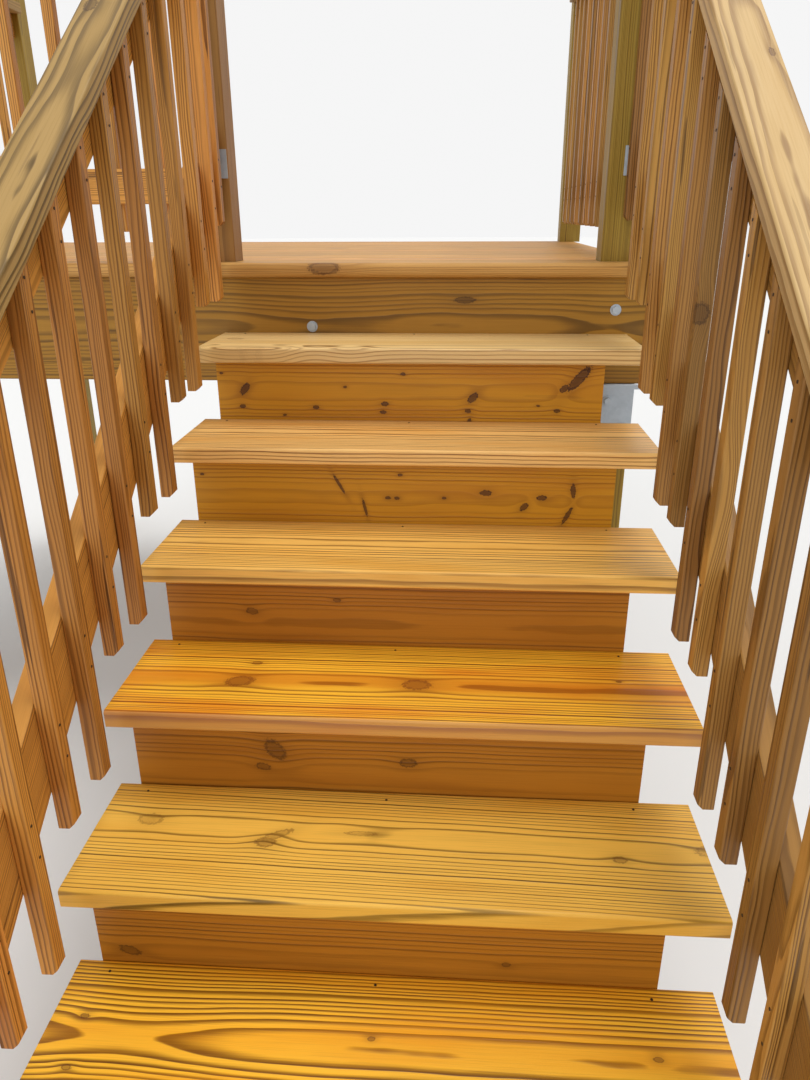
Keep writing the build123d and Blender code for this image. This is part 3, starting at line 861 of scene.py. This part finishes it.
def drive_heads(name, places, radius, material):
    """One piece with a shallow round head at each place, given as (point, outward direction)."""
    shape = bmesh.new()
    for point, outward in places:
        turn = Vector(outward).to_track_quat("Z", "Y").to_matrix().to_4x4()
        bmesh.ops.create_cone(
            shape,
            cap_ends=True,
            segments=10,
            radius1=radius,
            radius2=radius * 0.75,
            depth=head_depth,
            matrix=Matrix.Translation(Vector(point) - Vector(outward) * head_sunk) @ turn,
        )
    bmesh.ops.recalc_face_normals(shape, faces=shape.faces)
    mesh = bpy.data.meshes.new(name)
    shape.to_mesh(mesh)
    shape.free()
    mesh.materials.append(material)
    piece = bpy.data.objects.new(name, mesh)
    bpy.context.scene.collection.objects.link(piece)
    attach(piece, "root")
    print(name, "heads", len(places))


# %% Nails in the flight's balusters
def rail_height(node, y):
    """Middle height of a sloping rail at a distance up the flight."""
    low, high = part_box(node)
    climb = math.tan(slope)
    depth = high[2] - low[2] - climb * (high[1] - low[1])
    return low[2] + depth / 2 + climb * (y - low[1])


def aim_error(place, reach):
    """How far a nail misses the middle of its stick, another amount at each place."""
    return reach * math.sin(97 * place)


# Heights of the two nails over the middle of each sloping rail.
nail_lifts = {"top": (0.037, -0.012), "bottom": (0.034, -0.030)}
nail_places = []
for side, inward in (("left", 1), ("right", -1)):
    for low, high in pieces_of(f"stair_balusters_{side}"):
        face = high[0] if inward > 0 else low[0]
        y = (low[1] + high[1]) / 2
        aside = aim_error(y, 0.004)
        for rail, lifts in nail_lifts.items():
            height = rail_height(f"stair_{rail}_rail_{side}", y)
            for lift in lifts:
                nail_places.append(((face, y + aside, height + lift), (inward, 0, 0)))
                aside = -aside
print("nails in the flight's balusters", len(nail_places))

# %% Nails in the deck's guards
nail_insets = (0.022, 0.066)
low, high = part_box("deck_rails_front")
nail_heights = [low[2] + inset for inset in nail_insets]
nail_heights += [high[2] - inset for inset in reversed(nail_insets)]
for node, axis in baluster_rows.items():
    if node.startswith("deck"):
        for low, high in pieces_of(node):
            point = [0.0, high[1], 0.0]
            outward = (0, 1, 0)
            if axis == 1:
                inward = 1 if node.endswith("left") else -1
                point[0] = high[0] if inward > 0 else low[0]
                outward = (inward, 0, 0)
            point[axis] = (low[axis] + high[axis]) / 2 + aim_error(low[axis], 0.003)
            for height in nail_heights:
                nail_places.append(((point[0], point[1], height), outward))

# %% Nails at the backs of the treads
nail_from_back = 0.024
nail_off_stringer = 0.004
for number in tread_colours:
    low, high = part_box(f"tread_{number}")
    for side in ("left", "middle", "right"):
        x = middle_of(f"stringer_{side}")[0] + nail_off_stringer
        nail_places.append(((x, high[1] - nail_from_back, high[2]), (0, 0, 1)))
dark_nail, tree, shader = new_material("dark_nail")
rusty = {"Base Color": screen_colour(58, 40, 26), "Metallic": 0.5, "Roughness": 0.55}
fill(tree, shader, rusty)
drive_heads("nail_heads", nail_places, nail_radius, dark_nail)

# %% Screws in the rail brackets
bracket_thickness = 0.003
screw_shares = (0.25, 0.75)
flight_middle_y = 1.0
screw_places = []
for low, high in pieces_of("rail_brackets"):
    at_deck = low[1] > flight_middle_y
    face = high[1] - bracket_thickness if at_deck else low[1] + bracket_thickness
    outward = (0, -1 if at_deck else 1, 0)
    for share in screw_shares:
        height = low[2] + share * (high[2] - low[2])
        screw_places.append((((low[0] + high[0]) / 2, face, height), outward))
drive_heads("bracket_screws", screw_places, screw_radius, steel)

# %% [markdown]
# ## Floor and light
# A plain pale floor under a plain pale sky, and large soft lamps: one high over the flight, so
# that the treads are lighter than the risers, and a weaker one from the viewer's side.

# %% Floor
def plain_floor():
    """A pale round floor under the object."""
    shape = bmesh.new()
    bmesh.ops.create_circle(shape, cap_ends=True, segments=64, radius=60.0)
    mesh = bpy.data.meshes.new("floor")
    shape.to_mesh(mesh)
    shape.free()
    floor = bpy.data.objects.new("floor", mesh)
    bpy.context.scene.collection.objects.link(floor)
    material, tree, shader = new_material("pale_floor")
    pale = {"Base Color": (0.80, 0.80, 0.79, 1.0), "Roughness": 0.9, "Specular IOR Level": 0.2}
    fill(tree, shader, pale)
    mesh.materials.append(material)
    return floor


plain_floor()


# %% Lamps and sky
def soft_lamp(name, place, aim, spread, strength):
    """A far, broad lamp whose light falls evenly from place towards aim, with soft shadows."""
    lamp = bpy.data.lights.new(name, "SUN")
    lamp.angle = spread
    lamp.energy = strength
    holder = bpy.data.objects.new(name, lamp)
    direction = Vector(aim) - Vector(place)
    turn = direction.to_track_quat("-Z", "Y").to_matrix().to_4x4()
    holder.matrix_world = Matrix.Translation(place) @ turn
    bpy.context.scene.collection.objects.link(holder)


soft_lamp("high_lamp", (1.6, 1.8, 7.0), aim=(0.0, 1.2, 1.0), spread=0.6, strength=1.7)
soft_lamp("front_lamp", (-2.0, -5.0, 4.0), aim=(0.0, 1.0, 1.2), spread=1.0, strength=0.95)

sky_light = 0.6
sky_seen = 1.0
world = bpy.data.worlds.new("pale_sky")
world.use_nodes = True
bpy.context.scene.world = world
tree = world.node_tree
ray = tree.nodes.new("ShaderNodeLightPath").outputs
seen = calc(tree, "MAXIMUM", ray["Is Camera Ray"], ray["Is Glossy Ray"])
strength = calc(tree, "MULTIPLY_ADD", seen, sky_seen - sky_light, sky_light)
sky = {"Color": (0.92, 0.92, 0.92, 1.0), "Strength": strength}
fill(tree, tree.nodes["Background"], sky)

bpy.context.scene.view_settings.view_transform = "Standard"
print("lamps", len(bpy.data.lights), "sky", world.name)
